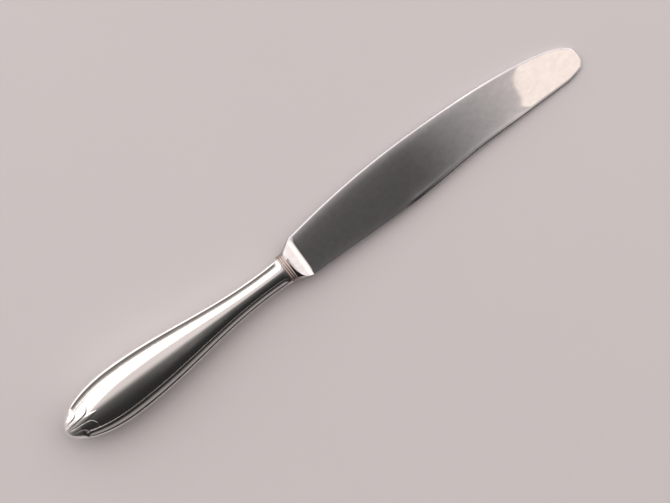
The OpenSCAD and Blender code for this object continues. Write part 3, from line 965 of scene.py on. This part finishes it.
# %% [markdown]
# ## Rows and loops of the forging
# Extruding an outline would give flat walls, and the spine would still have to be rounded by hand. A grid
# wrapped round the axis keeps one even flow of faces from the tang to the tip. Its loops lie close where the
# spine is rounded and where the edge is bevelled. Its rows bend in the bolster, so that one of them follows
# the ridge and keeps it crisp.

# %% Loops across the forging
SPINE_LOOPS, FACE_LOOPS, EDGE_LOOPS = 10, 22, 8
SIDE_LOOPS = SPINE_LOOPS + FACE_LOOPS + EDGE_LOOPS
SPINE_MARGIN, EDGE_CROWD, MOST_OF_WIDTH = 1.2, 1.5, 0.45


def loop_y(x, loop):
    """Place of a loop between spine and edge: close loops over the rounding and over the bevel."""
    low, high = (edge_y(x), spine_y(x)) if x >= SHOULDER_X else bolster_sides(x)
    width = high - low
    spine_zone = min(SPINE_ROUND * SPINE_MARGIN, MOST_OF_WIDTH * width)
    edge_zone = min(bevel_w(x), MOST_OF_WIDTH * width)
    if loop <= SPINE_LOOPS:
        return high - spine_zone * (1 - math.cos(math.pi / 2 * loop / SPINE_LOOPS))
    if loop <= SPINE_LOOPS + FACE_LOOPS:
        return mix(high - spine_zone, low + edge_zone, (loop - SPINE_LOOPS) / FACE_LOOPS)
    left = (SIDE_LOOPS - loop) / EDGE_LOOPS
    return low + edge_zone * left ** EDGE_CROWD


print(2 * SIDE_LOOPS, "loops round the forging")

# %% The ridge of the bolster
RIDGE_END, HALVINGS = 0.1, 24


def ridge_x(loop):
    """Place along a loop where the ramp meets the oval, found by halving."""
    back, front = HANDLE_L, SHOULDER_X - RIDGE_END
    for _ in range(HALVINGS):
        x = (back + front) / 2
        oval_z, ramp_z = bolster_forms(x, loop_y(x, loop))
        back, front = (x, front) if oval_z < ramp_z else (back, x)
    return back


RIDGE_X = [ridge_x(loop) for loop in range(SIDE_LOOPS + 1)]
print("ridge from", round(min(RIDGE_X), 2), "to", round(max(RIDGE_X), 2), "mm")

# %% Rows along the forging
BOLSTER_ROWS, BLADE_ROWS, TIP_ROWS = 60, 150, 50
TIP_L = 9.0
# Shares of the bolster's rows up to the ridge and up to the front of the ramp, which lies at least so far on
RIDGE_PART, FRONT_PART, FRONT_LEAST = 0.4, 0.8, 0.3


def forging_x(row, loop):
    """Place of a row on a loop: in the bolster one row follows the ridge and one the front of the ramp."""
    if row > BOLSTER_ROWS + BLADE_ROWS:
        return TIP_X - TIP_L * (1 - (row - BOLSTER_ROWS - BLADE_ROWS) / TIP_ROWS) ** 2
    if row >= BOLSTER_ROWS:
        return mix(SHOULDER_X, TIP_X - TIP_L, (row - BOLSTER_ROWS) / BLADE_ROWS)
    ridge = RIDGE_X[loop]
    front = max(HANDLE_L + RAMP_FRONT * BOLSTER_L, mix(ridge, SHOULDER_X, FRONT_LEAST))
    t = row / BOLSTER_ROWS
    if t < RIDGE_PART:
        return mix(HANDLE_L, ridge, t / RIDGE_PART)
    if t < FRONT_PART:
        return mix(ridge, front, (t - RIDGE_PART) / (FRONT_PART - RIDGE_PART))
    return mix(front, SHOULDER_X, (t - FRONT_PART) / (1 - FRONT_PART))


def forging_point(row, loop, up):
    """Point of the bolster or the blade, on the front face for up = 1 and on the back for up = -1."""
    x = forging_x(row, loop)
    y = loop_y(x, loop)
    if loop in (0, SIDE_LOOPS):
        return x, y, 0.0
    return x, y, up * (blade_z(x, y) if row >= BOLSTER_ROWS else min(bolster_forms(x, y)))


print(BOLSTER_ROWS + BLADE_ROWS + TIP_ROWS, "rows from the bolster to the tip")

# %% [markdown]
# ## Tang and forging
# Behind the bolster the tang runs back into the handle, square in section and tapered, bedded in cement. It
# does not show, so two rows are enough for it. The grid starts in one point at the end of the tang, wraps
# round the axis and closes at the tip. Beside the ferrule the bolster is made darker and browner.

# %% Tang
TANG_L, TANG_END_W, TANG_END_T = 60.0, 2.4, 1.6
TANG_BED = 0.25
TANG_W, TANG_T = (2 * (half / math.sqrt(2) - TANG_BED) for half in inside_size(NECK_X))


def tang_point(x, loop, up):
    """Point of the tang, whose loops are pressed from a circle to a rectangle."""
    t = (HANDLE_L - x) / TANG_L
    angle = math.pi * loop / SIDE_LOOPS
    y, z = math.cos(angle), up * math.sin(angle)
    square = max(abs(y), abs(z))
    return x, mix(TANG_W, TANG_END_W, t) / 2 * y / square, mix(TANG_T, TANG_END_T, t) / 2 * z / square


print("tang", round(TANG_W, 2), "by", round(TANG_T, 2), "mm at the ferrule")

# %% Forge the blade
# Share of the bolster, from the ferrule, that is darkened
FERRULE_SIDE_SHARE = 0.25


def forge_blade():
    """Tang, bolster and blade in one closed form."""
    bm = bmesh.new()
    tang_end = HANDLE_L - TANG_L
    tang = [tang_end, HANDLE_L]
    rows = 1 + len(tang) + BOLSTER_ROWS + BLADE_ROWS + TIP_ROWS

    def place(row, column):
        loop = column if column <= SIDE_LOOPS else 2 * SIDE_LOOPS - column
        up = 1 if column <= SIDE_LOOPS else -1
        if row == 0:
            return (tang_end, 0, 0), 0
        if row <= len(tang):
            return tang_point(tang[row - 1], loop, up), 0
        point = forging_point(row - 1 - len(tang), loop, up)
        return point, 1 - ease((point[0] - HANDLE_L) / (FERRULE_SIDE_SHARE * BOLSTER_L))

    worked_grid(bm, rows, 2 * SIDE_LOOPS, place)
    return bm


blade = finish_piece(forge_blade(), "blade_forging", "blade", steel)

# %% [markdown]
# ## Pieces that stay as they are
# The cement is sealed inside the handle and the solder under the ferrule shows only as a hair line. They
# could be modelled again, but their plain solids are right. They only need their finish.

# %% Fillings
for name, finish in (("ferrule_solder", solder), ("cement_core", cement)):
    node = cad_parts[name]
    node.data.materials.clear()
    node.data.materials.append(finish)
    print(name, "takes", finish.name)

# %% [markdown]
# ## The table
# The knife lies on a pale matt table, which throws light back on its underside and takes its shadow. A plane
# of one colour would look drawn, so two near tones drift over it in wide clouds.

# %% Table
TABLE_SIZE, TABLE_FACES = 3.0, 8
TABLE_LIGHT, TABLE_DARK = (0.705, 0.68, 0.68), (0.675, 0.65, 0.65)
TABLE_FINENESS = (9, 9, 9)
pale, tree, shader = new_finish("pale_table", Roughness=0.5)
drift = noise_mask(tree, TABLE_FINENESS, 0.0, 1.0, Detail=3.0)
tree.links.new(two_tone(tree, drift, TABLE_LIGHT, TABLE_DARK), shader.inputs["Base Color"])
flat = bmesh.new()
bmesh.ops.create_grid(flat, x_segments=TABLE_FACES, y_segments=TABLE_FACES, size=TABLE_SIZE / 2)
table_mesh = bpy.data.meshes.new("table")
flat.to_mesh(table_mesh)
flat.free()
table_mesh.materials.append(pale)
table = add_object("table", table_mesh)
# The table is no part of the knife
print(table.name, TABLE_SIZE, "m square")

# %% [markdown]
# ## Panels of light
# Polished metal shows its surroundings more than itself, so lamps are chosen for how they look in a mirror.
# A point lamp would be a hard dot. Panels are broad and even: a large window on the spine's side, turned
# towards the butt, makes the white band of the handle; a small warm oval above the tip makes the cream end
# of the blade; one panel beyond the tip and a weak one beyond the butt fill in. Each is set between two
# angles off the vertical, because a surface mirrors by angle.

# %% One panel
PANEL_DISTANCE = 1.5
# Watts on each square metre of a panel of brightness 1
POWER_PER_AREA = math.pi
# Share of its rectangle that an oval fills
OVAL_SHARE = math.pi / 4


def panel(name, towards, near, far, width, brightness, colour, shape="RECTANGLE", shift=0.0):
    """A panel of light between two angles off the vertical, in degrees, on the side that towards names.

    A shift moves it to the right, as seen from the knife."""
    ends = [Vector((0, 0, math.cos(math.radians(a)))) + Vector(towards) * math.sin(math.radians(a))
            for a in (near, far)]
    centre = (ends[0] + ends[1]) / 2 * PANEL_DISTANCE
    height = (ends[0] - ends[1]).length * PANEL_DISTANCE
    light = bpy.data.lights.new(name, "AREA")
    light.shape = shape
    light.size, light.size_y = width, height
    area = width * height * (OVAL_SHARE if shape == "ELLIPSE" else 1)
    light.energy = brightness * POWER_PER_AREA * area
    light.color = colour
    lamp = add_object(name, light)
    lamp.location = centre + Vector(towards).cross((0, 0, 1)) * shift
    lamp.rotation_euler = (-centre).to_track_quat("-Z", "Y").to_euler()
    print(name, [round(v, 2) for v in centre], round(width, 2), "x", round(height, 2), "m")


print("panels stand", PANEL_DISTANCE, "m away")

# %% The four panels
WINDOW_TURN = math.radians(48)
WINDOW_SIDE = (-math.sin(WINDOW_TURN), math.cos(WINDOW_TURN), 0)
TIP_SIDE, BUTT_SIDE = (1, 0, 0), (-1, 0, 0)
panel("window_panel", WINDOW_SIDE, near=30, far=89, width=2.4, brightness=0.95, colour=(1, 0.99, 0.98),
      shift=0.9)
panel("tip_panel", TIP_SIDE, near=14.5, far=40, width=0.24, brightness=0.72, colour=(1, 0.83, 0.68),
      shape="ELLIPSE", shift=0.104)
panel("fill_panel", TIP_SIDE, near=38, far=90, width=2.4, brightness=0.65, colour=(1, 0.92, 0.88), shift=0.5)
panel("butt_panel", BUTT_SIDE, near=40, far=90, width=1.0, brightness=0.15, colour=(1, 0.95, 0.93))

# %% [markdown]
# ## The room
# Between the panels the metal mirrors the room. A room of one brightness would make silver look like paint.
# This one falls from bright on the spine's side to dark on the edge's side, which gives the handle its dark
# band. It is bright beyond the tip too, except low on the edge's side, so the bevel stays dark. Two colour
# ramps on the direction say so, one for each axis of the table.

# %% Brightness by direction
world = bpy.data.worlds.new("studio")
bpy.context.scene.world = world
world.use_nodes = True
world_tree = world.node_tree
direction = add_node(world_tree, "ShaderNodeTexCoord")
axes = add_node(world_tree, "ShaderNodeSeparateXYZ")
world_tree.links.new(direction.outputs["Generated"], axes.inputs["Vector"])
# Shares of green and blue in the room's light, and how far they fall as it gets brighter
GREEN_SHARE, GREEN_FALL = 0.98, 1 / 10
BLUE_SHARE, BLUE_FALL = 0.95, 1 / 14


def room_fall(axis, stops):
    """Brightness of the room by direction: stops of (sine of the angle off the vertical, brightness)."""
    place = share_between(world_tree, axes.outputs[axis], -1, 1)
    ramp = add_node(world_tree, "ShaderNodeValToRGB")
    colours = ramp.color_ramp.elements
    while len(colours) < len(stops):
        colours.new(0.5)
    for stop, (sine, level) in zip(colours, stops):
        stop.position = (sine + 1) / 2
        green = level * (GREEN_SHARE - level * GREEN_FALL)
        blue = level * (BLUE_SHARE - level * BLUE_FALL)
        stop.color = (level, green, blue, 1)
    world_tree.links.new(place, ramp.inputs["Fac"])
    return ramp.outputs["Color"]


across_fall = room_fall("Y", (
    (-0.93, 0.022), (-0.61, 0.034), (-0.46, 0.05), (-0.31, 0.068), (-0.155, 0.094), (-0.08, 0.12),
    (-0.01, 0.19), (0.07, 0.35), (0.145, 0.54), (0.21, 0.68), (0.28, 0.72)))
along_fall = room_fall("X", ((0.127, 0.0), (0.143, 0.09), (0.16, 0.25), (0.182, 0.48), (0.2, 0.7)))
print("world", world.name, "has ramps across and along the knife")

# %% [markdown]
# ## What the metal and the camera see
# The two falls are added up. Past the edge of the table the camera would look into the dark side of the
# room, so camera rays see a plain pale backdrop instead. The metal still mirrors the room.

# %% Room and backdrop
# Sines across the knife between which the light from beyond the tip comes in
EDGE_DARK, EDGE_LIT = -0.72, -0.5
BACKDROP_TONE = (0.6, 0.55, 0.54, 1)
link = world_tree.links.new
total = add_node(world_tree, "ShaderNodeMix", data_type="RGBA", blend_type="ADD")
total.inputs["Factor"].default_value = 1.0
lit = share_between(world_tree, axes.outputs["Y"], EDGE_DARK, EDGE_LIT)
link(across_fall, total.inputs["A"])
link(two_tone(world_tree, lit, (0, 0, 0), along_fall), total.inputs["B"])
room = world_tree.nodes["Background"]
link(total.outputs["Result"], room.inputs["Color"])
backdrop = add_node(world_tree, "ShaderNodeBackground", Color=BACKDROP_TONE)
path = add_node(world_tree, "ShaderNodeLightPath")
choose = add_node(world_tree, "ShaderNodeMixShader")
link(path.outputs["Is Camera Ray"], choose.inputs["Fac"])
link(room.outputs["Background"], choose.inputs[1])
link(backdrop.outputs["Background"], choose.inputs[2])
link(choose.outputs["Shader"], world_tree.nodes["World Output"].inputs["Surface"])
bpy.context.scene.view_settings.view_transform = "Standard"
print("the world has", len(world_tree.nodes), "nodes")

# %% [markdown]
# ## The camera
# The camera looks straight down at the table, as a new camera does, and is rolled, so that the knife lies
# slanting, with its tip to the upper right. A constraint could aim it, but looking straight down leaves the
# roll open, so matrices turn and place it. The lens follows from the scale of the picture.

# %% Camera
CAMERA_ROLL, CAMERA_DISTANCE = math.radians(36.667), 0.56
IMAGE_W, PIXELS_PER_MM = 670, 3.105
AIM_RIGHT, AIM_DOWN, AIM_Z = 4.689, 4.010, 3.0
camera_data = bpy.data.cameras.new("camera")
camera_data.sensor_fit = "HORIZONTAL"
camera_data.lens = PIXELS_PER_MM * CAMERA_DISTANCE / MM / IMAGE_W * camera_data.sensor_width
camera = add_object("camera", camera_data)
place = Matrix.Translation((AIM_RIGHT * MM, -AIM_DOWN * MM, AIM_Z * MM + CAMERA_DISTANCE))
camera.matrix_world = Matrix.Rotation(-CAMERA_ROLL, 4, "Z") @ place
bpy.context.scene.camera = camera
print("camera lens", round(camera_data.lens, 1), "mm")

# %% [markdown]
# ## The new pieces
# The new pieces are counted with their faces. The skin is finer than the plain solids, but it may not be
# bigger.

# %% Count the new pieces
new_pieces = (front_half, back_half, seam_line, ferrule, blade)
print(len(new_pieces), "new pieces with", sum(len(piece.data.polygons) for piece in new_pieces), "faces")
